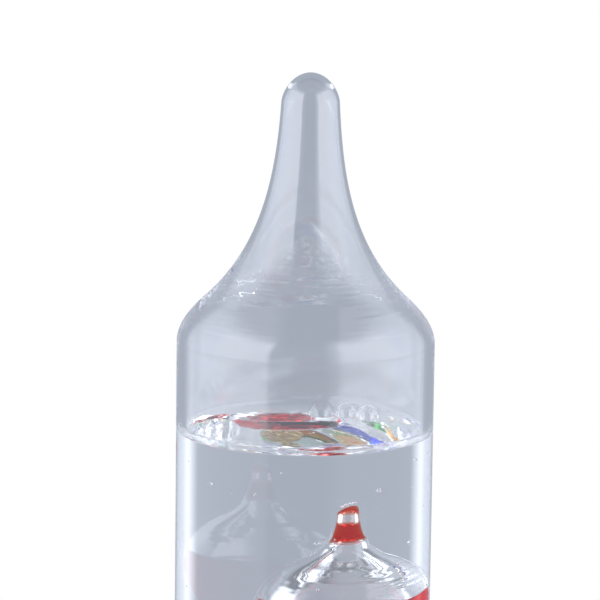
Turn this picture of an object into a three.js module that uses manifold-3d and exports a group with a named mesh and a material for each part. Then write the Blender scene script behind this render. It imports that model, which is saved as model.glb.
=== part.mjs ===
// Galileo thermometer: a sealed glass tube of clear liquid with five weighted glass floats.
// Millimetres, +Z up, origin at the centre of the flat foot. The front looks along +Y.

import * as THREE from 'three';
import { mergeVertices } from 'three/addons/utils/BufferGeometryUtils.js';
import Module from 'manifold-3d';

const wasm = await Module();
wasm.setup();

// ---------------------------------------------------------------- driving dimensions

const CLEARANCE = 0.3;          // kept between pieces that touch on the real object
const MERGE_DISTANCE = 1e-4;    // corners closer than this are one corner

// Glass envelope
const TUBE_HEIGHT = 320;
const TUBE_RADIUS = 22.5;
const TUBE_WALL = 1.7;
const NECK_WALL = 0.5;          // the glass thins where the tip is drawn out
const SEAL_WALL = 0.9;          // and gathers again where it is melted shut
const SHOULDER_DEPTH = 47.15;   // from the tip's top down to where the cylinder starts
const THIN_DEPTH = 30;          // the glass is thinnest down to here
const FOOT_THICKNESS = 8;       // solid glass under the liquid
const FOOT_EDGE_RADIUS = 1.6;
const BORE_CORNER_RADIUS = 4;   // inside corner above the foot
const SEAL_DEPTH = 2.6;         // the filling neck is melted shut this far below the tip's top
const TUBE_SIDES = 40;

// Working liquid
const LIQUID_LEVEL = TUBE_HEIGHT - 63.5;
const MENISCUS_RISE = 2.1;
const MENISCUS_WIDTH = 4;

// Glass float, measured from the centre of its ball
const BALL_RADIUS = 11.4;
const BALL_WALL = 0.5;
const STEM_RADIUS = 2.0;
const STEM_BORE_RADIUS = 1.3;
const STEM_TOP = 20.4;          // top of the melted seal
const STEM_SEAL_HEIGHT = 1.4;
const STEM_PLUG_DEPTH = 1.0;
const STEM_STRAIGHT_TO = 17.4;  // below this height the stem starts to widen into the ball
const STEM_DOME_EDGE = 0.2;     // upright rim under the seal's dome
const STEM_DOME_CURVE = 0.4;    // how far below its top the dome turns over
const FLOAT_SIDES = 20;

// Glass eye under the ball, wire ring and tag
const EYE_RADIUS = 1.6;         // to the middle of the glass rod
const EYE_ROD_RADIUS = 0.6;
const EYE_DROP = 0.4;           // from the ball down to the middle of the rod's top
const EYE_CENTRE = -(BALL_RADIUS + EYE_RADIUS + EYE_DROP);
const EYE_NECK_LENGTH = 1.2;    // short neck that joins the eye to the ball
const EYE_NECK_RADIUS = 0.7;
const EYE_NECK_TOP_RADIUS = 0.9;
const RING_RADIUS = 2.6;
const RING_WIRE_RADIUS = 0.35;
const TAG_RADIUS = 4.8;
const TAG_THICKNESS = 0.6;
const TAG_HOLE_RADIUS = 1.0;
const TAG_HOLE_RIM = 0.9;

// Where the ball sweeps up into the stem, on the outer face and on the inner one
const CAVITY_RADIUS = BALL_RADIUS - BALL_WALL;
const FILLET_OUTSIDE = { radius: 6.0, handles: [[2.5, 11.85], [STEM_RADIUS, 12.8]] };
const FILLET_INSIDE = { radius: 5.6, handles: [[2.2, 11.4], [1.6, 13.8]] };

// Space left in the liquid for the floats' travel
const LANE_CLEARANCE = 0.8;
const LANE_SIDES = 14;
const LANE_FLARE_WIDTH = 0.5;   // the lane is wider round the foot of the stem
const LANE_FLARE_DEPTH = 4;
const TAG_SWEEP_RADIUS = 8;

// The five floats, hottest on top. x and y place the float's axis in the tube, z its ball's
// centre, travel is how far it can sink and rise, and dyeLevel is measured from that centre.
const FLOATS = [
  { name: '26', x: 5.4, y: 0.0, z: 225.8, travel: [-10, 10], dyeLevel: 3.3, colour: 0xb52a1c },
  { name: '24', x: -4.9, y: 1.5, z: 178.8, travel: [-17.8, 10], dyeLevel: 3.7, colour: 0x1f4fb4 },
  { name: '22', x: 5.2, y: -1.2, z: 124.0, travel: [-7, 17.8], dyeLevel: 2.9, colour: 0xe0a01c },
  { name: '20', x: -5.0, y: -1.8, z: 80.0, travel: [-7, 7], dyeLevel: 3.5, colour: 0x1f8a4c },
  { name: '18', x: 4.6, y: 2.0, z: 36.0, travel: [-0.4, 7], dyeLevel: 4.0, colour: 0x6a3a9c },
];

// ---------------------------------------------------------------- materials

const clearGlass = new THREE.MeshStandardMaterial({
  color: 0xdfe6ea, roughness: 0.05, metalness: 0, transparent: true, opacity: 0.3,
});
const floatGlass = new THREE.MeshStandardMaterial({
  color: 0xe6ecef, roughness: 0.05, metalness: 0, transparent: true, opacity: 0.3,
});
const clearLiquid = new THREE.MeshStandardMaterial({
  color: 0xd5dde2, roughness: 0.02, metalness: 0, transparent: true, opacity: 0.25,
});
const brass = new THREE.MeshStandardMaterial({ color: 0xc9a24a, roughness: 0.35, metalness: 1 });

function dyeMaterial(colour) {
  return new THREE.MeshStandardMaterial({ color: colour, roughness: 0.1, metalness: 0 });
}

// ---------------------------------------------------------------- solids

// A geometry as a manifold solid: only positions, shared vertices merged, no empty triangles.
function toSolid(geometry) {
  const bare = new THREE.BufferGeometry();
  bare.setAttribute('position', geometry.getAttribute('position'));
  bare.setIndex(geometry.getIndex());
  const merged = mergeVertices(bare, MERGE_DISTANCE);
  const index = merged.getIndex().array;
  const triangles = [];
  for (let i = 0; i < index.length; i += 3) {
    const [a, b, c] = [index[i], index[i + 1], index[i + 2]];
    if (a !== b && b !== c && c !== a) triangles.push(a, b, c);
  }
  return new wasm.Manifold(new wasm.Mesh({
    numProp: 3,
    vertProperties: new Float32Array(merged.getAttribute('position').array),
    triVerts: new Uint32Array(triangles),
  }));
}

function toGeometry(solid) {
  const mesh = solid.getMesh();
  const geometry = new THREE.BufferGeometry();
  geometry.setAttribute('position', new THREE.BufferAttribute(mesh.vertProperties, 3));
  geometry.setIndex(new THREE.BufferAttribute(mesh.triVerts, 1));
  geometry.computeVertexNormals();
  return geometry;
}

// Turns an outline of (radius, height) points about the vertical axis.
// The outline runs upwards on its outer side.
function revolve(outline, sides) {
  return toSolid(new THREE.LatheGeometry(outline, sides).rotateX(Math.PI / 2));
}

function point(radius, height) {
  return new THREE.Vector2(radius, height);
}

// Points along an arc about a centre on the (radius, height) plane, angles in degrees from +radius.
function arc(centreRadius, centreHeight, radius, from, to, steps) {
  const curve = new THREE.EllipseCurve(
    centreRadius, centreHeight, radius, radius,
    THREE.MathUtils.degToRad(from), THREE.MathUtils.degToRad(to), to < from, 0,
  );
  return curve.getPoints(steps);
}

function bezier(start, startHandle, endHandle, end, steps) {
  return new THREE.CubicBezierCurve(start, startHandle, endHandle, end).getPoints(steps);
}

function slab(lowest, highest) {
  const width = 4 * TUBE_RADIUS;
  const box = new THREE.BoxGeometry(width, width, highest - lowest);
  return toSolid(box.translate(0, 0, (lowest + highest) / 2));
}

// ---------------------------------------------------------------- glass envelope

// The drawn tip, from the cylinder up to its top: shoulder, neck and nose in three curves.
// Each point is (radius, distance below the top).
const TIP_CURVES = [
  { points: [[TUBE_RADIUS, SHOULDER_DEPTH], [TUBE_RADIUS, 44.55], [20.9, 42.4], [18.3, 39.85]], steps: 4 },
  { points: [[18.3, 39.85], [8.5, 31.2], [5.85, 19.5], [5.05, 5.0]], steps: 7 },
  { points: [[5.05, 5.0], [4.75, 2.6], [2.6, 0], [0, 0]], steps: 5 },
];

function glassThickness(depth) {
  const thickening = THREE.MathUtils.smoothstep(depth, THIN_DEPTH, SHOULDER_DEPTH);
  const sealing = Math.max(0, 1 - depth / SEAL_DEPTH);
  return NECK_WALL + (TUBE_WALL - NECK_WALL) * thickening + (SEAL_WALL - NECK_WALL) * sealing;
}

// Outline of the tip's outer face, or of its inner face one glass thickness inside it.
function tipOutline(isInner) {
  const outline = [];
  for (const { points, steps } of TIP_CURVES) {
    const curve = new THREE.CubicBezierCurve(...points.map(([r, d]) => point(r, TUBE_HEIGHT - d)));
    for (let step = outline.length === 0 ? 0 : 1; step <= steps; step += 1) {
      const at = curve.getPoint(step / steps);
      const along = curve.getTangent(step / steps);
      const inset = isInner ? glassThickness(TUBE_HEIGHT - at.y) : 0;
      outline.push(point(Math.max(at.x - along.y * inset, 0), at.y + along.x * inset));
    }
  }
  return outline;
}

function envelopeOutside() {
  return [
    point(0, 0),
    ...arc(TUBE_RADIUS - FOOT_EDGE_RADIUS, FOOT_EDGE_RADIUS, FOOT_EDGE_RADIUS, -90, 0, 3),
    ...tipOutline(false),
  ];
}

// The bore's outline, kept `gap` inside the glass.
function boreOutline(gap) {
  const radius = TUBE_RADIUS - TUBE_WALL - gap;
  const floor = FOOT_THICKNESS + gap;
  const corner = BORE_CORNER_RADIUS - gap;
  return [point(0, floor), ...arc(radius - corner, floor + corner, corner, -90, 0, 4)];
}

const sealHeight = TUBE_HEIGHT - SEAL_DEPTH;
const envelope = revolve(envelopeOutside(), TUBE_SIDES)
  .subtract(revolve([...boreOutline(0), ...tipOutline(true)], TUBE_SIDES));

function outerTube() {
  return envelope.intersect(slab(-TUBE_HEIGHT, sealHeight - CLEARANCE / 2));
}

function tipSeal() {
  return envelope.intersect(slab(sealHeight + CLEARANCE / 2, 2 * TUBE_HEIGHT));
}

// ---------------------------------------------------------------- working liquid

// The space that a float, its ring and its tag sweep between the ends of its travel.
function travelLane({ x, y, z, travel }) {
  const [sink, rise] = travel;
  const ballRadius = BALL_RADIUS + LANE_CLEARANCE;
  const stemRadius = STEM_RADIUS + LANE_CLEARANCE;
  const bottom = z + sink + tagCentre - TAG_RADIUS - LANE_CLEARANCE;
  const ballTop = z + rise;
  const stemTop = z + rise + STEM_TOP + LANE_CLEARANCE;
  const tagAngle = angleOnBall(TAG_SWEEP_RADIUS, ballRadius);
  const stemAngle = angleOnBall(FILLET_OUTSIDE.radius, ballRadius);
  const lane = revolve([
    point(0, bottom),
    point(TAG_SWEEP_RADIUS, bottom),
    ...arc(0, z + sink, ballRadius, -tagAngle, 0, 2),
    ...arc(0, ballTop, ballRadius, 0, stemAngle, 3),
    point(stemRadius + LANE_FLARE_WIDTH, ballTop + STEM_STRAIGHT_TO - LANE_FLARE_DEPTH),
    point(stemRadius, ballTop + STEM_STRAIGHT_TO),
    point(stemRadius, stemTop),
    point(0, stemTop),
  ], LANE_SIDES);
  return lane.translate([x, y, 0]);
}

function workingLiquid() {
  const wallRadius = TUBE_RADIUS - TUBE_WALL - CLEARANCE;
  const meniscus = bezier(
    point(wallRadius, LIQUID_LEVEL + MENISCUS_RISE),
    point(wallRadius - 0.1 * MENISCUS_WIDTH, LIQUID_LEVEL + 0.3 * MENISCUS_RISE),
    point(wallRadius - 0.5 * MENISCUS_WIDTH, LIQUID_LEVEL),
    point(wallRadius - MENISCUS_WIDTH, LIQUID_LEVEL),
    4,
  );
  const column = revolve([...boreOutline(CLEARANCE), ...meniscus, point(0, LIQUID_LEVEL)], TUBE_SIDES);
  return FLOATS.reduce((liquid, float) => liquid.subtract(travelLane(float)), column);
}

// ---------------------------------------------------------------- glass float

function onBall(radius, ballRadius) {
  return Math.sqrt(ballRadius * ballRadius - radius * radius);
}

function angleOnBall(radius, ballRadius) {
  return THREE.MathUtils.radToDeg(Math.acos(radius / ballRadius));
}

// One face of the blown glass, from the bottom of the ball to where the stem is straight.
// The fillet leaves the ball at the given radius and its handles are (radius, height) points.
function blownOutline(ballRadius, stemRadius, fillet, ballSteps, filletSteps) {
  const start = point(fillet.radius, onBall(fillet.radius, ballRadius));
  const [first, second] = fillet.handles.map(([r, h]) => point(r, h));
  return [
    ...arc(0, 0, ballRadius, -90, angleOnBall(fillet.radius, ballRadius), ballSteps),
    ...bezier(start, first, second, point(stemRadius, STEM_STRAIGHT_TO), filletSteps).slice(1),
  ];
}

// Ball and stem in one blown piece, open at the stem's top, with the eye below it.
function floatShell() {
  const stemGlassTop = STEM_TOP - STEM_SEAL_HEIGHT - CLEARANCE;
  const outside = blownOutline(BALL_RADIUS, STEM_RADIUS, FILLET_OUTSIDE, 9, 5);
  const inside = blownOutline(CAVITY_RADIUS, STEM_BORE_RADIUS, FILLET_INSIDE, 8, 4);
  const stemEnd = [point(STEM_RADIUS, stemGlassTop), point(STEM_BORE_RADIUS, stemGlassTop)];
  const neck = new THREE.CylinderGeometry(EYE_NECK_TOP_RADIUS, EYE_NECK_RADIUS, EYE_NECK_LENGTH, 10);
  neck.rotateX(Math.PI / 2).translate(0, 0, -(BALL_RADIUS + EYE_NECK_LENGTH / 2 - BALL_WALL / 2));
  const eye = new THREE.TorusGeometry(EYE_RADIUS, EYE_ROD_RADIUS, 6, 16).rotateX(Math.PI / 2);
  eye.translate(0, 0, EYE_CENTRE);
  return revolve([...outside, ...stemEnd, ...inside.reverse()], FLOAT_SIDES)
    .add(toSolid(neck))
    .add(toSolid(eye));
}

// Melted glass that closes the stem: a dome with a short plug in the bore.
function stemSeal() {
  const plugRadius = STEM_BORE_RADIUS - CLEARANCE;
  const domeBase = STEM_TOP - STEM_SEAL_HEIGHT;
  return revolve([
    point(0, domeBase - STEM_PLUG_DEPTH),
    point(plugRadius, domeBase - STEM_PLUG_DEPTH),
    point(plugRadius, domeBase),
    point(STEM_RADIUS, domeBase),
    ...bezier(
      point(STEM_RADIUS, domeBase + STEM_DOME_EDGE),
      point(STEM_RADIUS, STEM_TOP - STEM_DOME_CURVE),
      point(STEM_RADIUS / 2, STEM_TOP),
      point(0, STEM_TOP),
      4,
    ),
  ], FLOAT_SIDES / 2);
}

function dye(level) {
  const radius = CAVITY_RADIUS - CLEARANCE;
  const top = THREE.MathUtils.radToDeg(Math.asin(level / radius));
  return revolve([...arc(0, 0, radius, -90, top, 7), point(0, level)], FLOAT_SIDES);
}

// ---------------------------------------------------------------- ring and tag

// The ring hangs on the eye's rod and passes through the tag's hole.
const ringCentre = EYE_CENTRE - (EYE_RADIUS - EYE_ROD_RADIUS) + CLEARANCE + RING_WIRE_RADIUS - RING_RADIUS;
const tagHoleTop = ringCentre - RING_RADIUS + RING_WIRE_RADIUS + CLEARANCE;
const tagCentre = tagHoleTop + TAG_HOLE_RIM - TAG_RADIUS;

function wireRing() {
  const ring = new THREE.TorusGeometry(RING_RADIUS, RING_WIRE_RADIUS, 6, 18).rotateY(Math.PI / 2);
  return toSolid(ring.translate(0, 0, ringCentre));
}

function tag() {
  const outline = new THREE.Shape().absarc(0, 0, TAG_RADIUS, 0, 2 * Math.PI);
  const holeHeight = tagHoleTop - TAG_HOLE_RADIUS - tagCentre;
  outline.holes.push(new THREE.Path().absarc(0, holeHeight, TAG_HOLE_RADIUS, 0, 2 * Math.PI));
  const plate = new THREE.ExtrudeGeometry(outline, {
    depth: TAG_THICKNESS, bevelEnabled: false, curveSegments: 10,
  });
  plate.translate(0, 0, -TAG_THICKNESS / 2).rotateX(Math.PI / 2);
  return toSolid(plate.translate(0, 0, tagCentre));
}

// ---------------------------------------------------------------- assembly

function node(name, solid, material) {
  const mesh = new THREE.Mesh(toGeometry(solid), material);
  mesh.name = name;
  return mesh;
}

const thermometer = new THREE.Group();
thermometer.add(node('outer_tube', outerTube(), clearGlass));
thermometer.add(node('tip_seal', tipSeal(), clearGlass));
thermometer.add(node('working_liquid', workingLiquid(), clearLiquid));

for (const { name, x, y, z, dyeLevel, colour } of FLOATS) {
  const float = new THREE.Group();
  float.position.set(x, y, z);
  float.add(node(`float_${name}_shell`, floatShell(), floatGlass));
  float.add(node(`float_${name}_stem_seal`, stemSeal(), floatGlass));
  float.add(node(`float_${name}_dye`, dye(dyeLevel), dyeMaterial(colour)));
  float.add(node(`float_${name}_ring`, wireRing(), brass));
  float.add(node(`float_${name}_tag`, tag(), brass));
  thermometer.add(float);
}

export default thermometer;
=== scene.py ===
"""Looks of the galileo thermometer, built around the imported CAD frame. Metres, +Z up."""

import math
import random

import bmesh
import bpy
from mathutils import Matrix, Quaternion, Vector, noise


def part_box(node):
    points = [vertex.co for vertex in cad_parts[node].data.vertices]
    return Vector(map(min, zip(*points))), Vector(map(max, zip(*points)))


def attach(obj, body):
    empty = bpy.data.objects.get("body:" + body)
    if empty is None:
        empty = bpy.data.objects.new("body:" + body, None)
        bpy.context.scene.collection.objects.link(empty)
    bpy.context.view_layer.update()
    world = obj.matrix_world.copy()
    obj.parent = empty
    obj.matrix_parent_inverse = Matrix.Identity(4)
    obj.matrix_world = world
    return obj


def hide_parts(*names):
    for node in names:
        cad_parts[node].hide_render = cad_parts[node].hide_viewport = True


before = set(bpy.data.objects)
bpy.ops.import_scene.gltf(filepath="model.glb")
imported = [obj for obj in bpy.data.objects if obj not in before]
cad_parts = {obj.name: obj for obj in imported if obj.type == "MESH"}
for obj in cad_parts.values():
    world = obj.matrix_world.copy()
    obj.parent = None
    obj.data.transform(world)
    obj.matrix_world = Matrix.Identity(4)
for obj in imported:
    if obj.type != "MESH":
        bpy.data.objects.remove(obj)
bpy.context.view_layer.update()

MM = 0.001

# ---------------------------------------------------------------- sizes, in metres

TUBE_LOW, TUBE_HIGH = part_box("outer_tube")
TUBE_RADIUS = (TUBE_HIGH.x - TUBE_LOW.x) / 2
TUBE_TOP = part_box("tip_seal")[1].z
TUBE_WALL = 1.7 * MM
NECK_WALL = 0.5 * MM
SEAL_WALL = 0.9 * MM
SEAL_DEPTH = 2.6 * MM
SHOULDER_DEPTH = 47.15 * MM
THIN_DEPTH = 30 * MM
FOOT_THICKNESS = 8 * MM
FOOT_EDGE_RADIUS = 1.6 * MM
BORE_CORNER_RADIUS = 4 * MM
BORE_RADIUS = TUBE_RADIUS - TUBE_WALL

MENISCUS_RISE = 2.1 * MM
MENISCUS_WIDTH = 4 * MM
CONTACT_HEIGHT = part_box("working_liquid")[1].z
LIQUID_LEVEL = CONTACT_HEIGHT - MENISCUS_RISE
SKIN = 0.02 * MM                # between a liquid and the glass that it wets

# The float is measured from the centre of its ball
BALL_RADIUS = 11.4 * MM
CAVITY_RADIUS = 10.9 * MM
STEM_RADIUS = 2.0 * MM
STEM_BORE_RADIUS = 1.35 * MM
STEM_TOP = 20.4 * MM
STEM_STRAIGHT_TO = 17.4 * MM
EYE_RADIUS = 1.6 * MM
EYE_ROD_RADIUS = 0.6 * MM
EYE_CENTRE = -(BALL_RADIUS + EYE_RADIUS + 0.4 * MM)
EYE_BOTTOM = EYE_CENTRE - EYE_RADIUS - EYE_ROD_RADIUS

TUBE_SIDES = 180
LIQUID_SIDES = 420
FLOAT_SIDES = 96
BUBBLE_SIDES = 56

# Refractive indices
AIR = 1.0
GLASS = 1.5
LIQUID = 1.45

scene = bpy.context.scene
scene.view_settings.view_transform = "Standard"


# ---------------------------------------------------------------- mesh helpers

def new_object(name, data):
    made = bpy.data.objects.new(name, data)
    scene.collection.objects.link(made)
    return made


def smooth(mesh):
    for polygon in mesh.polygons:
        polygon.use_smooth = True


def revolved(outlines, sides):
    """A mesh from outlines of (radius, height, material number), turned about the vertical axis.

    An outline that runs upwards faces outwards. A band takes the material of its first point."""
    vertices, faces, numbers = [], [], []
    for outline in outlines:
        rings = []
        for radius, height, _ in outline:
            first = len(vertices)
            if radius < 1e-7:
                vertices.append((0, 0, height))
                rings.append([first] * sides)
                continue
            for side in range(sides):
                angle = 2 * math.pi * side / sides
                vertices.append((radius * math.cos(angle), radius * math.sin(angle), height))
            rings.append(list(range(first, first + sides)))
        for (low, high), (_, _, number) in zip(zip(rings, rings[1:]), outline):
            for side in range(sides):
                after = (side + 1) % sides
                corners = [low[side], low[after], high[after], high[side]]
                faces.append(tuple(dict.fromkeys(corners)))
                numbers.append(number)
    mesh = bpy.data.meshes.new("revolved")
    mesh.from_pydata(vertices, [], faces)
    mesh.polygons.foreach_set("material_index", numbers)
    smooth(mesh)
    return mesh


def reshaped(mesh, move):
    """Moves each vertex by a function of its place and of its face's material number."""
    numbers = [0] * len(mesh.vertices)
    for polygon in mesh.polygons:
        for vertex in polygon.vertices:
            numbers[vertex] = polygon.material_index
    for vertex, number in zip(mesh.vertices, numbers):
        vertex.co = move(vertex.co, number)


def joined(*meshes):
    whole = bmesh.new()
    for mesh in meshes:
        whole.from_mesh(mesh)
    whole.to_mesh(meshes[0])
    whole.free()
    return meshes[0]


def joined_object(name, meshes, material):
    """Several meshes as one smooth object."""
    mesh = joined(*meshes)
    smooth(mesh)
    mesh.materials.append(material)
    return new_object(name, mesh)


def evaluated_mesh(made):
    """A new mesh with the shape of an object after its modifiers."""
    bpy.context.view_layer.update()
    graph = bpy.context.evaluated_depsgraph_get()
    return bpy.data.meshes.new_from_object(made.evaluated_get(graph))


def to_mesh(data):
    """The mesh of a curve or a text."""
    maker = new_object("maker", data)
    mesh = evaluated_mesh(maker)
    bpy.data.objects.remove(maker)
    return mesh


def combined(first, second, operation):
    """Two overlapping closed meshes as one: UNION or DIFFERENCE."""
    base = new_object("base", first)
    tool = new_object("tool", second)
    modifier = base.modifiers.new("combine", "BOOLEAN")
    modifier.operation = operation
    modifier.solver = "EXACT"
    modifier.object = tool
    mesh = evaluated_mesh(base)
    bpy.data.objects.remove(base)
    bpy.data.objects.remove(tool)
    return mesh


def bezier(start, start_handle, end_handle, end, steps):
    """Points on a cubic curve, without its first one."""
    points = []
    for step in range(1, steps + 1):
        t = step / steps
        weights = ((1 - t) ** 3, 3 * t * (1 - t) ** 2, 3 * t * t * (1 - t), t ** 3)
        handles = (start, start_handle, end_handle, end)
        points.append(tuple(sum(w * h[k] for w, h in zip(weights, handles)) for k in range(2)))
    return points


def arc(centre, radius, start, end, steps):
    """Points on an arc from start to end, in degrees from +radius, both ends included."""
    points = []
    for step in range(steps + 1):
        angle = math.radians(start + (end - start) * step / steps)
        points.append((centre[0] + radius * math.cos(angle), centre[1] + radius * math.sin(angle)))
    return points


def with_material(points, number):
    return [(radius, height, number) for radius, height in points]


def part_between(outline, low, high):
    """The stretch of an outline that runs upwards between two heights, cut at both of them."""
    stretch = []
    for (r0, h0), (r1, h1) in zip(outline, outline[1:]):
        for height in (low, high):
            if h0 < height < h1:
                share = (height - h0) / (h1 - h0)
                stretch.append((r0 + (r1 - r0) * share, height))
        if low <= h1 <= high:
            stretch.append((r1, h1))
    if low <= outline[0][1]:
        stretch.insert(0, outline[0])
    return stretch


def ramp(value, low, high):
    """Rises smoothly from 0 at low to 1 at high."""
    t = min(max((value - low) / (high - low), 0), 1)
    return t * t * (3 - 2 * t)


# ---------------------------------------------------------------- materials

def principled(name, **inputs):
    material = bpy.data.materials.new(name)
    material.use_nodes = True
    shader = material.node_tree.nodes["Principled BSDF"]
    for label, value in inputs.items():
        shader.inputs[label.replace("_", " ")].default_value = value
    return material


def noise_field(tree, scale, stretch=1.0, detail=1.0):
    """A noise texture in the object's own metres, with features about 1 / scale across."""
    place = tree.nodes.new("ShaderNodeTexCoord")
    mapping = tree.nodes.new("ShaderNodeMapping")
    mapping.inputs["Scale"].default_value = (scale, scale, scale * stretch)
    field = tree.nodes.new("ShaderNodeTexNoise")
    field.inputs["Scale"].default_value = 1.0
    field.inputs["Detail"].default_value = detail
    tree.links.new(place.outputs["Object"], mapping.inputs["Vector"])
    tree.links.new(mapping.outputs["Vector"], field.inputs["Vector"])
    return field.outputs["Fac"]


def waves(material, scale, stretch, height, detail=1.0):
    """Slow waves in a surface: features 1 / scale across, and height deep."""
    tree = material.node_tree
    bump = tree.nodes.new("ShaderNodeBump")
    bump.inputs["Distance"].default_value = height
    bump.inputs["Strength"].default_value = 1.0
    tree.links.new(noise_field(tree, scale, stretch, detail), bump.inputs["Height"])
    tree.links.new(bump.outputs["Normal"], tree.nodes["Principled BSDF"].inputs["Normal"])
    return material


def clear(name, index):
    """A clear boundary whose inside is index times as dense, optically, as its outside."""
    return principled(
        name, Base_Color=(1, 1, 1, 1), Roughness=0.0, IOR=index, Transmission_Weight=1.0,
    )


tube_outside = waves(clear("tube_outside", GLASS / AIR), 60, 0.2, 0.02 * MM)
tube_bore_dry = waves(clear("tube_bore_dry", GLASS / AIR), 130, 0.35, 0.012 * MM, 2.0)
tube_bore_wet = waves(clear("tube_bore_wet", GLASS / LIQUID), 60, 0.2, 0.02 * MM)
float_outside = waves(clear("float_outside", GLASS / LIQUID), 180, 1.0, 0.02 * MM)
float_bore_dry = waves(clear("float_bore_dry", GLASS / AIR), 180, 1.0, 0.01 * MM)
float_bore_wet = waves(clear("float_bore_wet", GLASS / LIQUID), 180, 1.0, 0.02 * MM)
liquid_side = clear("liquid_side", 1.0)
liquid_surface = waves(clear("liquid_surface", LIQUID / AIR), 300, 1.0, 0.004 * MM, 2.0)
bubble_film = waves(clear("bubble_film", LIQUID / AIR), 500, 1.0, 0.01 * MM)
speck_gas = clear("speck_gas", AIR / LIQUID)


FREE_SURFACE = "free_surface"     # the face attribute that is 1 where a dye meets gas


def dyed(name, colour, depth):
    """A dye that lets colour through at the given depth, in metres.

    Its free surface bends light as a liquid against air, and its sides, in glass, don't."""
    material = waves(clear(name, LIQUID / AIR), 300, 1.0, 0.004 * MM)
    tree = material.node_tree
    free = tree.nodes.new("ShaderNodeAttribute")
    free.attribute_name = FREE_SURFACE
    index = tree.nodes.new("ShaderNodeMapRange")
    index.inputs["To Min"].default_value = 1.0
    index.inputs["To Max"].default_value = LIQUID / AIR
    tree.links.new(free.outputs["Fac"], index.inputs["Value"])
    tree.links.new(index.outputs["Result"], tree.nodes["Principled BSDF"].inputs["IOR"])
    lost = [-math.log(c) for c in colour]
    strongest = max(lost)
    absorb = tree.nodes.new("ShaderNodeVolumeAbsorption")
    absorb.inputs["Color"].default_value = (*(1 - share / strongest for share in lost), 1)
    absorb.inputs["Density"].default_value = strongest / depth
    tree.links.new(absorb.outputs["Volume"], tree.nodes["Material Output"].inputs["Volume"])
    return material


# Each float's dye: its slot, and the colour that it lets through at a depth
DYES = {
    "26": ("dye_red", (0.95, 0.03, 0.01), 2.6 * MM),
    "24": ("dye_blue", (0.05, 0.32, 0.90), 3 * MM),
    "22": ("dye_amber", (0.97, 0.72, 0.14), 3 * MM),
    "20": ("dye_green", (0.12, 0.82, 0.35), 3 * MM),
    "18": ("dye_purple", (0.52, 0.14, 0.80), 3 * MM),
}


def worn_brass(name, roughness, grain, stretch):
    """Satin brass: fine grain, and patches that have dulled and browned a little."""
    material = principled(name, Metallic=1.0)
    tree = material.node_tree
    shader = tree.nodes["Principled BSDF"]
    tone = tree.nodes.new("ShaderNodeValToRGB")
    browned, bright = tone.color_ramp.elements
    browned.position, browned.color = 0.35, (0.58, 0.40, 0.15, 1)
    bright.position, bright.color = 0.6, (0.84, 0.64, 0.29, 1)
    tree.links.new(noise_field(tree, 450, 1.0, 4.0), tone.inputs["Fac"])
    tree.links.new(tone.outputs["Color"], shader.inputs["Base Color"])
    dull = tree.nodes.new("ShaderNodeMapRange")
    dull.inputs["To Min"].default_value = roughness * 1.5
    dull.inputs["To Max"].default_value = roughness * 0.6
    tree.links.new(noise_field(tree, 900, 1.0, 3.0), dull.inputs["Value"])
    tree.links.new(dull.outputs["Result"], shader.inputs["Roughness"])
    return waves(material, grain, stretch, 0.02 * MM, 3.0)


tag_brass = worn_brass("tag_brass", 0.32, 2500, 0.15)
ring_brass = worn_brass("ring_brass", 0.2, 1800, 1.0)


# ---------------------------------------------------------------- camera and light

CAMERA_ELEVATION = math.radians(9.5)
CAMERA_LEAN = math.radians(0.75)
CAMERA_DISTANCE = 0.6
CAMERA_AIM = Vector((-1.1 * MM, 0, TUBE_TOP - 39.75 * MM))
VIEW_WIDTH = 104.45 * MM         # across the picture, at the tube


def add_camera():
    """The photograph's view: the top third of the tube, from a little above."""
    back = Vector((0, -math.cos(CAMERA_ELEVATION), math.sin(CAMERA_ELEVATION)))
    data = bpy.data.cameras.new("camera")
    data.lens = data.sensor_width * CAMERA_DISTANCE / VIEW_WIDTH
    data.clip_start, data.clip_end = 0.01, 20
    camera = new_object("camera", data)
    camera.location = CAMERA_AIM + back * CAMERA_DISTANCE
    camera.rotation_mode = "QUATERNION"
    upright = (-back).to_track_quat("-Z", "Y")
    camera.rotation_quaternion = upright @ Quaternion((0, 0, 1), CAMERA_LEAN)
    scene.camera = camera


# The studio's colours
BACKDROP = (0.388, 0.427, 0.505)
ROOM = (0.32, 0.35, 0.41)
SOFTBOX = (1.00, 1.04, 1.12)
PANEL = (0.93, 1.00, 1.15)
STRIP = (1.02, 1.08, 1.20)
SIDE_WALL = (0.60, 0.64, 0.71)
CEILING = (0.22, 0.24, 0.28)
FLOOR = (0.86, 0.87, 0.88)
# painted glow: what rays through the glass see of the floor, emitted in place of light from below
# the tube
FLOOR_PAINTED_GLOW = (0.50, 0.55, 0.63)

# What stands round the object, as (bearing, colour, share of a softbox's extra light). Bearing 0
# and 1 are straight in front of the object, 0.25 is on its left and 0.5 straight behind it.
STUDIO = [
    (0.000, ROOM, 0), (0.085, ROOM, 0), (0.100, SOFTBOX, 1), (0.230, SOFTBOX, 1),
    (0.270, PANEL, 0.65), (0.342, PANEL, 0.1), (0.350, STRIP, 0), (0.360, STRIP, 0),
    (0.385, BACKDROP, 0), (0.615, BACKDROP, 0), (0.640, STRIP, 0), (0.650, STRIP, 0),
    (0.658, PANEL, 0.1), (0.730, PANEL, 0.65), (0.770, SOFTBOX, 1), (0.900, SOFTBOX, 1),
    (0.955, ROOM, 0), (1.000, ROOM, 0),
]
EXTRA_LIGHT = 1.75               # of a softbox, over its own colour

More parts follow.
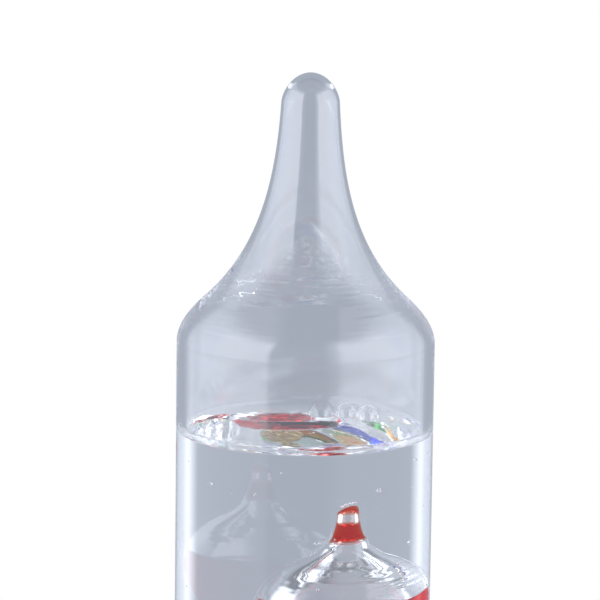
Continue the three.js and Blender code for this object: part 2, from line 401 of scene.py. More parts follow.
# A softbox is bright in a thin band at its lower edge, dimmer over that, and bright again above.
# The band narrows towards the front. Each pair says where a change starts and where it is
# complete, in the height of a ray's direction.
BAND_START, BAND_START_SLOPE = (-0.190, -0.176), 0.035
BAND_END, BAND_END_SLOPE = (-0.1825, -0.1785), 0.053
SLOPE_TO = 0.17                  # the bearing from the front where the band's upper edge levels
BRIGHT_AGAIN = (-0.145, -0.158)  # from all bright down to dimmed
DIMMED = 0.6                     # the share of the extra light that is missing there

WALL_FROM, WALL_TO = (0.09, 0.12), (0.300, 0.285)     # the side walls, in bearings from the front
CEILING_FROM = (0.60, 0.80)


def add_world():
    """A soft studio: grey-blue behind, panels and softboxes beside, a dim room in front."""
    world = bpy.data.worlds.new("studio")
    scene.world = world
    world.use_nodes = True
    tree = world.node_tree
    tree.nodes.clear()

    def node(kind, **values):
        made = tree.nodes.new(kind)
        for label, value in values.items():
            setattr(made, label, value)
        return made

    def math_node(operation, first, second=0.0):
        made = node("ShaderNodeMath", operation=operation)
        for socket, value in zip(made.inputs, (first, second)):
            if isinstance(value, (int, float)):
                socket.default_value = value
            else:
                tree.links.new(value, socket)
        return made.outputs[0]

    def rise(value, low, high):
        made = node("ShaderNodeMapRange", interpolation_type="SMOOTHSTEP")
        made.inputs["From Min"].default_value = low
        made.inputs["From Max"].default_value = high
        tree.links.new(value, made.inputs["Value"])
        return made.outputs[0]

    split = node("ShaderNodeSeparateXYZ")
    tree.links.new(node("ShaderNodeTexCoord").outputs["Generated"], split.inputs[0])
    x, y, z = split.outputs
    turn = math_node("DIVIDE", math_node("ARCTAN2", x, y), 2 * math.pi)
    bearing = math_node("ADD", turn, 0.5)
    around = node("ShaderNodeValToRGB")
    tree.links.new(bearing, around.inputs["Fac"])
    elements = around.color_ramp.elements
    while len(elements) < len(STUDIO):
        elements.new(0.5)
    for element, (position, colour, extra) in zip(elements, STUDIO):
        element.position = position
        element.color = (*colour, extra)
    from_front = math_node("MINIMUM", bearing, math_node("SUBTRACT", 1.0, bearing))
    low_edge = math_node("ADD", z, math_node("MULTIPLY", from_front, BAND_START_SLOPE))
    aside = math_node("MINIMUM", from_front, SLOPE_TO)
    high_edge = math_node("SUBTRACT", z, math_node("MULTIPLY", aside, BAND_END_SLOPE))
    over = math_node("MULTIPLY", rise(high_edge, *BAND_END), rise(z, *BRIGHT_AGAIN))
    kept = math_node("SUBTRACT", 1.0, math_node("MULTIPLY", over, DIMMED))
    lift = math_node("MULTIPLY", around.outputs["Alpha"], rise(low_edge, *BAND_START))
    lift = math_node("MULTIPLY", math_node("MULTIPLY", lift, kept), EXTRA_LIGHT)
    strength = math_node("ADD", lift, 1.0)
    bright = node("ShaderNodeVectorMath", operation="SCALE")
    tree.links.new(around.outputs["Color"], bright.inputs[0])
    tree.links.new(strength, bright.inputs["Scale"])
    # the softboxes light the glass by reflection; straight through it they are pale grey walls
    path = node("ShaderNodeLightPath")
    unreflected = math_node("LESS_THAN", path.outputs["Glossy Depth"], 0.5)
    through = math_node("GREATER_THAN", path.outputs["Transmission Depth"], 0.5)
    at_side = math_node("MULTIPLY", rise(from_front, *WALL_FROM), rise(from_front, *WALL_TO))
    straight = math_node("MULTIPLY", through, unreflected)
    wall = node("ShaderNodeMix", data_type="RGBA")
    tree.links.new(math_node("MULTIPLY", straight, at_side), wall.inputs["Factor"])
    tree.links.new(bright.outputs[0], wall.inputs[6])
    wall.inputs[7].default_value = (*SIDE_WALL, 1)
    mixed = node("ShaderNodeMix", data_type="RGBA")
    tree.links.new(rise(z, *CEILING_FROM), mixed.inputs["Factor"])
    tree.links.new(wall.outputs[2], mixed.inputs[6])
    mixed.inputs[7].default_value = (*CEILING, 1)
    studio = node("ShaderNodeBackground")
    tree.links.new(mixed.outputs[2], studio.inputs["Color"])
    white = node("ShaderNodeBackground")
    white.inputs["Color"].default_value = (1, 1, 1, 1)
    chosen = node("ShaderNodeMixShader")
    tree.links.new(path.outputs["Is Camera Ray"], chosen.inputs["Fac"])
    tree.links.new(studio.outputs[0], chosen.inputs[1])
    tree.links.new(white.outputs[0], chosen.inputs[2])
    output = node("ShaderNodeOutputWorld")
    tree.links.new(chosen.outputs[0], output.inputs["Surface"])


FLOOR_RADIUS = 0.6
FLOOR_GAP = 0.05 * MM            # under the foot
FADE_FROM, FADE_TO = 0.12, 0.95  # in shares of the floor's radius


def add_floor():
    """A pale round floor that fades into the white around it. Seen through the glass it is a
    painted glow, not a lit floor.
    """
    rings = [(FLOOR_RADIUS * share, 0.0) for share in (1, 0.5, 0.25, 0)]
    mesh = revolved([with_material(rings, 0)], 64)
    floor = new_object("floor", mesh)
    floor.location.z = -FLOOR_GAP
    material = principled("floor", Base_Color=(*FLOOR, 1), Roughness=0.6)
    tree = material.node_tree
    place = tree.nodes.new("ShaderNodeTexCoord")
    length = tree.nodes.new("ShaderNodeVectorMath")
    length.operation = "LENGTH"
    fade = tree.nodes.new("ShaderNodeMapRange")
    fade.interpolation_type = "SMOOTHSTEP"
    fade.inputs["From Min"].default_value = FLOOR_RADIUS * FADE_FROM
    fade.inputs["From Max"].default_value = FLOOR_RADIUS * FADE_TO
    faded = tree.nodes.new("ShaderNodeBsdfTransparent")
    mixed = tree.nodes.new("ShaderNodeMixShader")
    tree.links.new(place.outputs["Object"], length.inputs[0])
    tree.links.new(length.outputs["Value"], fade.inputs["Value"])
    # seen through the glass, the floor is a painted glow: grey-blue emission, as grey-blue as the
    # backdrop behind it, standing in for light from below the tube, so no contact shadow darkens it
    # under the foot
    painted_glow = tree.nodes.new("ShaderNodeEmission")
    painted_glow.inputs["Color"].default_value = (*FLOOR_PAINTED_GLOW, 1)
    path = tree.nodes.new("ShaderNodeLightPath")
    seen = tree.nodes.new("ShaderNodeMixShader")
    tree.links.new(path.outputs["Is Camera Ray"], seen.inputs["Fac"])
    tree.links.new(painted_glow.outputs[0], seen.inputs[1])
    tree.links.new(tree.nodes["Principled BSDF"].outputs[0], seen.inputs[2])
    tree.links.new(fade.outputs[0], mixed.inputs["Fac"])
    tree.links.new(seen.outputs[0], mixed.inputs[1])
    tree.links.new(faded.outputs[0], mixed.inputs[2])
    tree.links.new(mixed.outputs[0], tree.nodes["Material Output"].inputs["Surface"])
    mesh.materials.append(material)


# ---------------------------------------------------------------- tube and liquid

OUTSIDE, DRY, WET = 0, 1, 2      # the faces of a glass wall, by what they meet
SIDE, SURFACE = 0, 1             # the faces of a liquid: against glass, and free

# The drawn tip, from the cylinder up to its top: (radius, distance below the top) in mm, with
# the number of steps along each curve.
TIP_CURVES = [
    ([(TUBE_RADIUS / MM, 47.15), (TUBE_RADIUS / MM, 44.55), (20.9, 42.4), (18.3, 39.85)], 36),
    ([(18.3, 39.85), (8.5, 31.2), (5.85, 19.5), (5.05, 5.0)], 120),
    ([(5.05, 5.0), (4.75, 2.6), (2.6, 0.0), (0.0, 0.0)], 32),
]
INNER_FINENESS = 4               # times as many steps on the inner face, for its ridges


def glass_thickness(depth):
    """Full in the cylinder, thin in the neck, gathered a little at the very top."""
    thickening = ramp(depth, THIN_DEPTH, SHOULDER_DEPTH)
    sealing = max(0, 1 - depth / SEAL_DEPTH)
    return NECK_WALL + (TUBE_WALL - NECK_WALL) * thickening + (SEAL_WALL - NECK_WALL) * sealing


def tip_outline(is_inner):
    """The tip from the cylinder to its top: its outer face, or its inner one."""
    middle = []
    for curve, steps in TIP_CURVES:
        placed = [(radius * MM, TUBE_TOP - depth * MM) for radius, depth in curve]
        middle += [placed[0]] if not middle else []
        middle += bezier(*placed, steps * INNER_FINENESS if is_inner else steps)
    if not is_inner:
        return middle
    outline = []
    for number, (radius, height) in enumerate(middle):
        before = middle[max(number - 1, 0)]
        after = middle[min(number + 1, len(middle) - 1)]
        along = Vector((after[0] - before[0], after[1] - before[1])).normalized()
        inset = glass_thickness(TUBE_TOP - height)
        outline.append((max(radius - along.y * inset, 0), height + along.x * inset))
    outline[-1] = (0.0, TUBE_TOP - SEAL_WALL)
    return outline


def bore_outline(gap):
    """The floor of the bore and its rounded corner, kept gap inside the glass."""
    radius = BORE_RADIUS - gap
    corner = BORE_CORNER_RADIUS - gap
    floor = FOOT_THICKNESS + gap
    return [(0.0, floor), *arc((radius - corner, floor + corner), corner, -90, 0, 10)]


# The liquid's edge on the glass strays by a sum of noises, each with its height in mm and its
# fineness. It also climbs at one place at the back: how far in mm, and where in degrees from +X.
EDGE_NOISES = [(0.16, 9), (0.10, 23), (0.06, 38)]
CLIMB_HEIGHT, CLIMB_BEARING, CLIMB_SPREAD = 0.9, 63, 17


def contact_wobble(angle):
    """How far the liquid's edge on the glass strays up or down at an angle around the tube."""
    at = Vector((math.cos(angle), math.sin(angle), 0))
    climb = math.exp(-((math.degrees(angle) - CLIMB_BEARING) / CLIMB_SPREAD) ** 4)
    fine = sum(height * noise.noise(at * fineness) for height, fineness in EDGE_NOISES)
    return (fine + CLIMB_HEIGHT * climb) * MM


# Ridges that the flame left inside the shoulder, each strongest over a part of its turn:
# (distance below the top, half width, height) in mm, (middle, half spread) in degrees from +X
RIDGES = [
    (42.7, 0.14, 0.20, 134, 17), (42.7, 0.14, 0.20, 50, 13), (44.3, 0.10, 0.14, 104, 5),
    (44.4, 0.10, 0.16, 88, 7), (44.9, 0.08, 0.08, 116, 9), (42.0, 0.12, 0.12, 84, 11),
    (40.4, 0.10, 0.05, 68, 25),
]
RING_HEIGHT, RING_SPACING = 0.02, 0.55 * MM           # the height in mm
RINGS_GROW, RINGS_FADE = (27 * MM, 34 * MM), (42 * MM, 46 * MM)     # below the top
TIP_LEAN, LEAN_DEPTH = 0.3 * MM, 42 * MM


def ridge_height(depth, angle, around):
    """How far the glass stands into the bore: single ridges, and fine rings all the way round."""
    swell = 0
    for middle, half_width, height, bearing, spread in RIDGES:
        off = (math.degrees(angle) - bearing + 180) % 360 - 180
        share = math.exp(-(off / spread) ** 4)
        swell += height * share * math.exp(-((depth / MM - middle) / half_width) ** 2)
    rings = noise.noise(around * 2.5 + Vector((0, 0, depth / RING_SPACING)))
    fade = ramp(depth, *RINGS_GROW) * (1 - ramp(depth, *RINGS_FADE))
    return (swell + RING_HEIGHT * rings * fade) * MM


def drawn_tube(place, number):
    """The tube's small faults: a leaning tip, ridges inside its shoulder, an uneven wetted edge."""
    moved = place.copy()
    depth = TUBE_TOP - place.z
    radius = math.hypot(place.x, place.y)
    angle = math.atan2(place.y, place.x)
    if number != OUTSIDE and radius > 0:
        around = Vector((math.cos(angle), math.sin(angle), 0))
        swell = ridge_height(depth, angle, around)
        moved.x -= around.x * swell
        moved.y -= around.y * swell
        if abs(place.z - CONTACT_HEIGHT) < 0.01 * MM:
            moved.z += contact_wobble(angle)
    moved.x += TIP_LEAN * (1 - ramp(depth, 0, LEAN_DEPTH))
    return moved


def add_tube():
    edge_centre = (TUBE_RADIUS - FOOT_EDGE_RADIUS, FOOT_EDGE_RADIUS)
    outside = [(0.0, 0.0), *arc(edge_centre, FOOT_EDGE_RADIUS, -90, 0, 8), *tip_outline(False)]
    wetted = [*bore_outline(0), (BORE_RADIUS, CONTACT_HEIGHT)]
    # the bore runs downwards, so a band takes the material of the point above it
    bore = with_material(tip_outline(True)[::-1], DRY) + with_material(wetted[::-1], WET)
    mesh = revolved([with_material(outside, OUTSIDE), bore], TUBE_SIDES)
    reshaped(mesh, drawn_tube)
    tube = new_object("glass_tube", mesh)
    for material in (tube_outside, tube_bore_dry, tube_bore_wet):
        mesh.materials.append(material)
    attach(tube, "tube")
    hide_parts("outer_tube", "tip_seal")


# Three bubbles against the back of the tube: (x, radius, height of the middle over the level)
BUBBLES = [
    (3.05 * MM, 2.58 * MM, -0.10 * MM),
    (7.70 * MM, 2.14 * MM, 0.34 * MM),
    (11.60 * MM, 2.14 * MM, 0.40 * MM),
]
BUBBLE_FILM = 0.28 * MM
BUBBLE_GAP = 0.25 * MM           # between a bubble and the glass


def bubble_places():
    for x, radius, lift in BUBBLES:
        from_axis = BORE_RADIUS - radius - BUBBLE_GAP
        y = math.sqrt(from_axis ** 2 - x ** 2)
        yield Vector((x, y, LIQUID_LEVEL + lift)), radius


def half_circle(radius, number=0, steps=28):
    """A ball's outline, from its bottom to its top."""
    return with_material(arc((0, 0), radius, -90, 90, steps), number)


# The surface's rings, slow ones inside fine ones: their height, the distance between them, and
# where they grow and fade, from the axis
SLOW_RIPPLE, SLOW_SPACING = 0.025 * MM, 1.1 * MM
SLOW_GROWS, SLOW_FADES = (5 * MM, 14 * MM), (19 * MM, 20 * MM)
FINE_RIPPLE, FINE_SPACING = 0.05 * MM, 0.42 * MM
FINE_GROWS, FINE_FADES = (14 * MM, 18.5 * MM), (20.3 * MM, 20.75 * MM)
CLIMB_WIDTH = 0.8 * MM           # over which the surface rises to its uneven edge


def rippled_surface(place, number):
    """Faint rings on the liquid that grow towards the glass, and its uneven edge."""
    moved = place.copy()
    if number != SURFACE:
        return moved
    radius = math.hypot(place.x, place.y)
    angle = math.atan2(place.y, place.x)
    around = Vector((math.cos(angle), math.sin(angle), 0))
    slow = noise.noise(around * 1.6 + Vector((0, 0, radius / SLOW_SPACING)))
    slow *= ramp(radius, *SLOW_GROWS) * (1 - ramp(radius, *SLOW_FADES))
    fine = noise.noise(around * 11 + Vector((0, 0, radius / FINE_SPACING)))
    fine *= ramp(radius, *FINE_GROWS) * (1 - 0.7 * ramp(radius, *FINE_FADES))
    climbing = ramp(radius, BORE_RADIUS - CLIMB_WIDTH, BORE_RADIUS - SKIN)
    moved.z += SLOW_RIPPLE * slow + FINE_RIPPLE * fine + contact_wobble(angle) * climbing
    return moved


FLAT_RINGS = 60


def add_liquid():
    wall = BORE_RADIUS - SKIN
    meniscus = bezier(
        (wall, CONTACT_HEIGHT),
        (wall - 0.1 * MENISCUS_WIDTH, LIQUID_LEVEL + 0.3 * MENISCUS_RISE),
        (wall - 0.5 * MENISCUS_WIDTH, LIQUID_LEVEL),
        (wall - MENISCUS_WIDTH, LIQUID_LEVEL),
        64,
    )
    flat_radius = wall - MENISCUS_WIDTH
    flat_rings = [
        (flat_radius * (1 - step / FLAT_RINGS), LIQUID_LEVEL) for step in range(1, FLAT_RINGS + 1)
    ]
    outline = with_material(bore_outline(SKIN), SIDE)
    outline.append((wall, CONTACT_HEIGHT, SURFACE))
    outline += with_material(meniscus, SURFACE)
    outline += with_material(flat_rings, SURFACE)
    mesh = revolved([outline], LIQUID_SIDES)
    reshaped(mesh, rippled_surface)
    mesh.materials.append(liquid_side)
    mesh.materials.append(liquid_surface)
    for centre, radius in bubble_places():
        dent = revolved([half_circle(radius, SURFACE)], BUBBLE_SIDES)
        dent.transform(Matrix.Translation(centre))
        dent.materials.append(liquid_side)
        dent.materials.append(liquid_surface)
        mesh = combined(mesh, dent, "DIFFERENCE")
    smooth(mesh)
    liquid = new_object("liquid", mesh)
    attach(liquid, "tube")
    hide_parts("working_liquid")


def add_bubbles():
    """The thin skins of the three bubbles."""
    films = []
    for centre, radius in bubble_places():
        outer = half_circle(radius - SKIN)
        inner = half_circle(radius - SKIN - BUBBLE_FILM)
        film = revolved([outer, inner[::-1]], BUBBLE_SIDES)
        film.transform(Matrix.Translation(centre))
        films.append(film)
    bubbles = joined_object("bubbles", films, bubble_film)
    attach(bubbles, "tube")


def gas_ball(radius):
    """A tiny, slightly uneven gas bubble."""
    ball = revolved([half_circle(radius, steps=8)], 16)
    reshaped(ball, lambda place, _: place * (1 + 0.12 * noise.noise(place / radius)))
    return ball


SPECK_COUNT = 90
SPECK_RADII = (0.14, 0.18, 0.24, 0.30, 0.38)     # mm
SPECK_WIDTHS = (1.0, 1.6)        # over a speck's height
SPECK_DEPTH, SPECK_DEPTH_RANGE = 2, 118          # mm, the least depth and what is added to it
SPECK_GAP = 0.4 * MM             # between a speck and the glass


def add_specks():
    """Tiny flattened gas bubbles beside the inside of the tube, most of them near the surface."""
    draw = random.Random(11)
    specks = []
    for _ in range(SPECK_COUNT):
        angle = draw.uniform(0, 2 * math.pi)
        height = LIQUID_LEVEL - (SPECK_DEPTH + SPECK_DEPTH_RANGE * draw.random() ** 2) * MM
        radius = draw.choice(SPECK_RADII) * MM
        width = draw.uniform(*SPECK_WIDTHS)
        speck = gas_ball(radius)
        from_axis = BORE_RADIUS - SPECK_GAP - radius * width
        place = (from_axis * math.cos(angle), from_axis * math.sin(angle), height)
        speck.transform(Matrix.Translation(place) @ Matrix.Diagonal((width, width, 1, 1)))
        specks.append(speck)
    placed = joined_object("specks", specks, speck_gas)
    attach(placed, "tube")


# ---------------------------------------------------------------- floats

SEAL_HEIGHT = 1.1 * MM           # of the glass over the stem's bore
SEAL_SLANT = 0.38                # how much the bore's top rises towards +X


def blown_outline(ball_radius, stem_radius, fillet_start, handles, top, ring_steps):
    """A ball that sweeps up into its stem, from the bottom of the ball to the stem's domed top."""
    plain_to = 20
    turn = math.degrees(math.acos(fillet_start / ball_radius))
    ball = arc((0, 0), ball_radius, -90, plain_to, 36)
    ball += arc((0, 0), ball_radius, plain_to, turn, ring_steps)[1:]
    ball[0] = (0.0, -ball_radius)
    first, second = ((radius * MM, height * MM) for radius, height in handles)
    fillet = bezier(ball[-1], first, second, (stem_radius, STEM_STRAIGHT_TO), 24)
    shoulder = (stem_radius, top - 0.8 * stem_radius)
    dome = bezier(
        shoulder, (stem_radius, top - 0.3 * stem_radius), (0.6 * stem_radius, top), (0.0, top), 10,
    )
    return [*ball, *fillet, shoulder, *dome]


FLOAT_OUTSIDE = blown_outline(
    BALL_RADIUS, STEM_RADIUS, 6.0 * MM, ((2.5, 11.85), (2.0, 12.8)), STEM_TOP, 14,
)
FLOAT_CAVITY = blown_outline(
    CAVITY_RADIUS, STEM_BORE_RADIUS, 5.6 * MM, ((2.4, 11.4), (1.75, 13.8)),
    STEM_TOP - SEAL_HEIGHT, 72,
)
BLOWN_RING_HEIGHT, BLOWN_RING_SPACING = 0.020 * MM, 1.0 * MM
BLOWN_RINGS_GROW, BLOWN_RINGS_FADE = (4.2 * MM, 5.6 * MM), (9.6 * MM, 11.5 * MM)


def blown_rings(place, number):
    """Faint rings round the upper part of the blown cavity, strongest on one side."""
    moved = slanted_seal(place, number)
    if number == DRY:
        around = place.normalized()
        band = ramp(place.z, *BLOWN_RINGS_GROW) * (1 - ramp(place.z, *BLOWN_RINGS_FADE))
        side = 0.4 + 0.6 * ramp(around.x, -0.3, 0.5)
        waver = 0.6 * noise.noise(around * 2.0)
        ring = math.sin((place.z / BLOWN_RING_SPACING + waver) * 2 * math.pi)
        moved -= around * (BLOWN_RING_HEIGHT * band * side * ring)
    return moved


# The dye's lower edge in the stem: where it may be, how much it slants and how far it strays
STEM_EDGE_LOW, STEM_EDGE_HIGH = 12.3 * MM, 14.2 * MM
STEM_EDGE_SLANT, STEM_EDGE_NOISE = 0.10, 0.16 * MM
SLANT_GROWS = (STEM_STRAIGHT_TO + 0.6 * MM, STEM_TOP - 1.3 * MM)


def slanted_seal(place, _):
    """The bore's top is melted shut on a slant, and the dye's lower edge in the stem is uneven."""
    moved = place.copy()
    off_axis = math.hypot(place.x, place.y)
    if STEM_EDGE_LOW < place.z < STEM_EDGE_HIGH:
        uneven = STEM_EDGE_SLANT * place.x + STEM_EDGE_NOISE * noise.noise(place * 700)
        moved.z += uneven * ramp(off_axis / STEM_BORE_RADIUS, 0.2, 1.0)
    if off_axis < 1.02 * STEM_BORE_RADIUS and place.z > 0:
        moved.z += SEAL_SLANT * place.x * ramp(place.z, *SLANT_GROWS)
    return moved


CIRCLE_HANDLE = 0.5523           # of a quarter circle's handle, over its radius


def eye_mesh():
    """The glass rod bent into an eye under the ball."""
    curve = bpy.data.curves.new("eye", "CURVE")
    curve.dimensions = "3D"
    curve.bevel_depth = EYE_ROD_RADIUS
    curve.bevel_resolution = 4
    curve.resolution_u = 10
    spline = curve.splines.new("BEZIER")
    spline.bezier_points.add(3)
    spline.use_cyclic_u = True
    handle = EYE_RADIUS * CIRCLE_HANDLE
    up, right = Vector((0, 0, 1)), Vector((1, 0, 0))
    corners = [(up, -right), (-right, -up), (-up, right), (right, up)]
    for knot, (place, along) in zip(spline.bezier_points, corners):
        knot.co = place * EYE_RADIUS + up * EYE_CENTRE
        knot.handle_left = knot.co - along * handle
        knot.handle_right = knot.co + along * handle
    return to_mesh(curve)


def shell_outside():
    """The outer face of the float's glass, with its eye."""
    neck_low = EYE_CENTRE + EYE_RADIUS
    neck = [
        (0.0, neck_low), (0.7 * MM, neck_low), (0.8 * MM, -BALL_RADIUS - 0.1 * MM),
        (1.3 * MM, -BALL_RADIUS + 0.12 * MM), (0.0, -BALL_RADIUS + 0.2 * MM),
    ]
    rod = revolved([with_material(neck, 0)], 24)
    ball = revolved([with_material(FLOAT_OUTSIDE, 0)], FLOAT_SIDES)
    mesh = combined(combined(ball, rod, "UNION"), eye_mesh(), "UNION")
    smooth(mesh)
    return mesh


def shell_inside(level, stem_low):
    """The inner face, wetted by dye up to level in the ball and from stem_low up in the stem."""
    pieces = [(-BALL_RADIUS, level, WET), (level, stem_low or BALL_RADIUS * 3, DRY)]
    if stem_low:
        pieces.append((stem_low, STEM_TOP, WET))
    outline = []
    for low, high, number in pieces:
        outline += with_material(part_between(FLOAT_CAVITY, low, high), number)
    # turned to run downwards, each band has the material of the point above it
    mesh = revolved([outline[::-1]], FLOAT_SIDES)
    reshaped(mesh, blown_rings)
    return mesh


POOL_CLIMB = 0.5 * MM            # of the dye's surface at the ball's glass
STEM_FILM = 0.06 * MM            # dye between the stem's bubble and the bore
CUP_DEPTH = 0.9 * MM             # of the arch under the dye in the stem


def cupped(edge, depth):
    """A liquid's lower face that arches in the bore, from its middle to just before its edge."""
    radius, height = edge
    return [(0.0, height + depth)] + bezier(
        (0.0, height + depth), (0.6 * radius, height + depth),
        (0.92 * radius, height + 0.5 * depth), (radius, height), 14,
    )[:-1]


def pocket(low, high, corner):
    """A bubble that fills the stem's bore but for a film of dye, from its bottom to its top."""
    between = part_between(FLOAT_CAVITY, low + corner, high - corner)
    walls = [(radius - STEM_FILM, height) for radius, height in between]
    (low_radius, low_height), (high_radius, high_height) = walls[0], walls[-1]
    bottom = bezier(
        (0.0, low), (0.6 * low_radius, low), (low_radius, low + 0.4 * corner),
        (low_radius, low_height), 12,
    )[:-1]
    top = bezier(
        (high_radius, high_height), (high_radius, high - 0.4 * corner),
        (0.6 * high_radius, high), (0.0, high), 12,
    )
    return [(0.0, low), *bottom, *walls, *top]


def dye_pool(level):
    """The pool in the ball: up its side, and in over a surface that climbs at the glass."""
    wetted = part_between(FLOAT_CAVITY, -BALL_RADIUS, level)
    wetted = [(max(radius - SKIN, 0), height) for radius, height in wetted]
    wetted[0] = (0.0, wetted[0][1] + SKIN)
    rim_radius, rim_height = rim = wetted.pop()
    flat = rim_height - POOL_CLIMB
    meniscus = bezier(
        rim, (rim_radius - 0.3 * POOL_CLIMB, rim_height - 0.6 * POOL_CLIMB),
        (rim_radius - 1.5 * POOL_CLIMB, flat), (rim_radius - 3 * POOL_CLIMB, flat), 10,
    )
    return with_material(wetted, SIDE) + with_material([rim, *meniscus, (0.0, flat)], SURFACE)


def stem_filling(stem_low):
    """What the stem's bore holds, from the cupped lower face to the seal."""
    bore = part_between(FLOAT_CAVITY, stem_low, STEM_TOP)
    bore = [(max(radius - SKIN, 0), height) for radius, height in bore]
    bore[-1] = (0.0, bore[-1][1] - SKIN)
    return with_material(cupped(bore[0], CUP_DEPTH), SURFACE) + with_material(bore, SIDE)


def dye_mesh(level, stem_low, bubble):
    """The pool in the ball, and what the stem's bore holds, with a bubble caught in it."""
    outlines = [dye_pool(level)]
    if stem_low:
        outlines += [stem_filling(stem_low), with_material(pocket(*bubble), SURFACE)[::-1]]
    mesh = revolved(outlines, FLOAT_SIDES)
    reshaped(mesh, slanted_seal)
    numbers = [polygon.material_index for polygon in mesh.polygons]
    mesh.attributes.new(FREE_SURFACE, "FLOAT", "FACE").data.foreach_set("value", numbers)
    mesh.polygons.foreach_set("material_index", [0] * len(numbers))
    return mesh


TAG_WEB = 0.55                   # of the tag's thickness, inside its rim
TAG_EDGE = 0.12 * MM             # its chamfer
RIM_WIDTH = 0.55 * MM
RIM_SHOULDER, RIM_FOOT = 0.7 * MM, 0.95 * MM     # the rim's inner slope, from the tag's edge
TAG_SIDES = 96
HOLE_RADIUS = 1.0 * MM
HOLE_INSET = 1.9 * MM            # from the tag's edge to the middle of the hole
NUMERAL_SIZE = 5.0 * MM
NUMERAL_HEIGHT = 0.10 * MM
NUMERAL_EDGE = 0.03 * MM
NUMERAL_DROP = 1.1 * MM          # from the tag's middle
UPRIGHT = Matrix.Rotation(math.radians(90), 4, "X")


def numerals_mesh(text):
    """Raised numerals that stand upright and face -Y."""
    letters = bpy.data.curves.new("numerals", "FONT")
    letters.body = text
    letters.size = NUMERAL_SIZE
    letters.extrude = NUMERAL_HEIGHT
    letters.bevel_depth = NUMERAL_EDGE
    letters.bevel_resolution = 1
    letters.align_x = "CENTER"
    letters.align_y = "CENTER"
    return to_mesh(letters)


def tag_mesh(text):
    """A stamped disc with a raised rim and numerals on both faces, and a hole for the ring."""
    low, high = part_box(f"float_{text}_tag")
    radius = (high.x - low.x) / 2
    half = (high.y - low.y) / 2
    web = half * TAG_WEB
    upper = [
        (radius, half - TAG_EDGE), (radius - TAG_EDGE, half), (radius - RIM_WIDTH, half),
        (radius - RIM_SHOULDER, half - TAG_EDGE / 2), (radius - RIM_FOOT, web), (0.0, web),
    ]
    lower = [(from_axis, -height) for from_axis, height in upper[::-1]]
    disc = revolved([with_material(lower + upper, 0)], TAG_SIDES)
    disc.transform(UPRIGHT)
    bore = [(0.0, -half * 2), (HOLE_RADIUS, -half * 2), (HOLE_RADIUS, half * 2), (0.0, half * 2)]
    hole = revolved([with_material(bore, 0)], 32)
    hole.transform(Matrix.Translation((0, 0, radius - HOLE_INSET)) @ UPRIGHT)
    mesh = combined(disc, hole, "DIFFERENCE")
    face = Matrix.Translation((0, -web - 0.01 * MM, -NUMERAL_DROP)) @ UPRIGHT
    for turn in (0, 180):
        numerals = numerals_mesh(text)
        numerals.transform(Matrix.Rotation(math.radians(turn), 4, "Z") @ face)
        mesh = combined(mesh, numerals, "UNION")
    mesh.materials.clear()
    mesh.materials.append(tag_brass)
    return mesh, (low + high) / 2


def add_tag(name):
    mesh, centre = tag_mesh(name)
    tag = new_object(f"tag_{name}", mesh)
    tag.location = centre
    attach(tag, f"tag_{name}")
    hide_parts(f"float_{name}_tag")


RING_STEPS = 72
RING_OPENING = math.radians(6)
RING_START = math.radians(200)


def add_ring(name):
    """A ring of wire whose ends almost meet."""
    low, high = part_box(f"float_{name}_ring")
    wire = (high.x - low.x) / 2
    radius = (high.z - low.z) / 2 - wire
    curve = bpy.data.curves.new(f"ring_{name}", "CURVE")
    curve.dimensions = "3D"
    curve.bevel_depth = wire
    curve.bevel_resolution = 5
    curve.use_fill_caps = True
    spline = curve.splines.new("POLY")
    spline.points.add(RING_STEPS)
    for step, knot in enumerate(spline.points):
        turn = (2 * math.pi - RING_OPENING) * step / RING_STEPS
        angle = RING_OPENING / 2 + turn + RING_START
        knot.co = (0, radius * math.cos(angle), radius * math.sin(angle), 1)
    mesh = to_mesh(curve)
    smooth(mesh)
    mesh.materials.append(ring_brass)
    ring = new_object(f"ring_{name}", mesh)
    ring.location = (low + high) / 2
    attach(ring, f"tag_{name}")
    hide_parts(f"float_{name}_ring")


SEAL_SPECK_COUNT = 18
SEAL_SPECK_RADII = (0.10, 0.13, 0.16)            # mm
SEAL_SPECK_HEIGHTS = (0.22, 0.34)                # mm over the bore's slanted top
SEAL_SPECK_SPREAD = 1.05 * MM


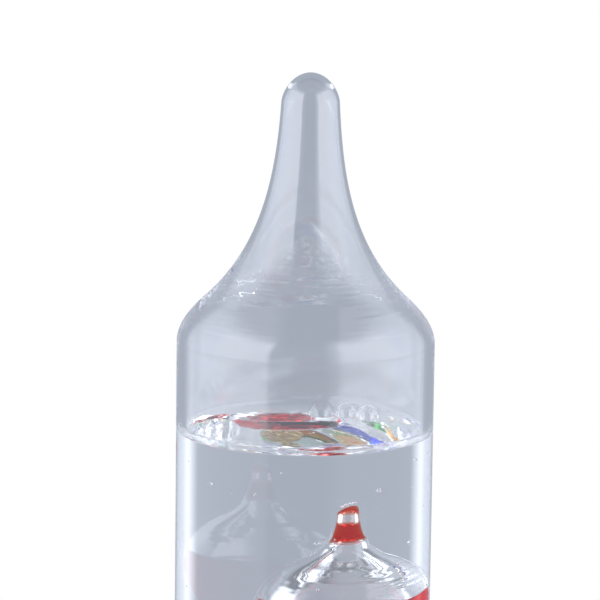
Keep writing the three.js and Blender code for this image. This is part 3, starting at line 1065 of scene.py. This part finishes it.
def add_seal_specks(name, centre):
    """Gas bubbles caught in the glass when the stem was melted shut."""
    draw = random.Random(5)
    specks = []
    for _ in range(SEAL_SPECK_COUNT):
        angle = draw.uniform(0, 2 * math.pi)
        off_axis = SEAL_SPECK_SPREAD * math.sqrt(draw.random())
        x, y = off_axis * math.cos(angle), off_axis * math.sin(angle)
        over_bore = draw.uniform(*SEAL_SPECK_HEIGHTS) * MM
        speck = gas_ball(draw.choice(SEAL_SPECK_RADII) * MM)
        height = STEM_TOP - SEAL_HEIGHT + SEAL_SLANT * x + over_bore
        speck.transform(Matrix.Translation((x, y, height)))
        specks.append(speck)
    placed = joined_object(f"seal_specks_{name}", specks, speck_gas)
    placed.location = centre
    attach(placed, f"float_{name}")


def add_float(name, level, stem_low=None, bubble=None):
    """A float whose dye stands at level. With stem_low set, its stem holds dye from there up."""
    low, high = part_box(f"float_{name}_shell")
    centre = Vector(((low.x + high.x) / 2, (low.y + high.y) / 2, low.z - EYE_BOTTOM))
    mesh = joined(SHELL_OUTSIDE.copy(), shell_inside(level, stem_low))
    for material in (float_outside, float_bore_dry, float_bore_wet):
        mesh.materials.append(material)
    shell = new_object(f"float_{name}", mesh)
    shell.location = centre
    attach(shell, f"float_{name}")
    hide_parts(f"float_{name}_shell", f"float_{name}_stem_seal")
    dye = new_object(f"dye_{name}", dye_mesh(level, stem_low, bubble))
    slot, colour, depth = DYES[name]
    dye.data.materials.append(dyed(f"{slot}_liquid", colour, depth))
    dye.location = centre
    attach(dye, f"float_{name}")
    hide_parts(f"float_{name}_dye")
    if stem_low:
        add_seal_specks(name, centre)
    add_ring(name)
    add_tag(name)


# ---------------------------------------------------------------- assembly

add_camera()
add_world()
add_floor()
add_tube()
add_liquid()
add_bubbles()
add_specks()

SHELL_OUTSIDE = shell_outside()
STEM_BUBBLE = (15.60 * MM, 18.65 * MM, 1.10 * MM)     # its bottom, top and corners
add_float("26", 2.9 * MM, stem_low=12.95 * MM, bubble=STEM_BUBBLE)
add_float("24", 3.4 * MM)
add_float("22", 2.5 * MM)
add_float("20", 3.2 * MM)
add_float("18", 3.8 * MM)

if hasattr(scene, "cycles"):
    # light runs down the whole tube by reflections, and each one passes five surfaces
    scene.cycles.max_bounces = 512
    scene.cycles.transmission_bounces = 512
    scene.cycles.glossy_bounces = 256
    scene.cycles.transparent_max_bounces = 16
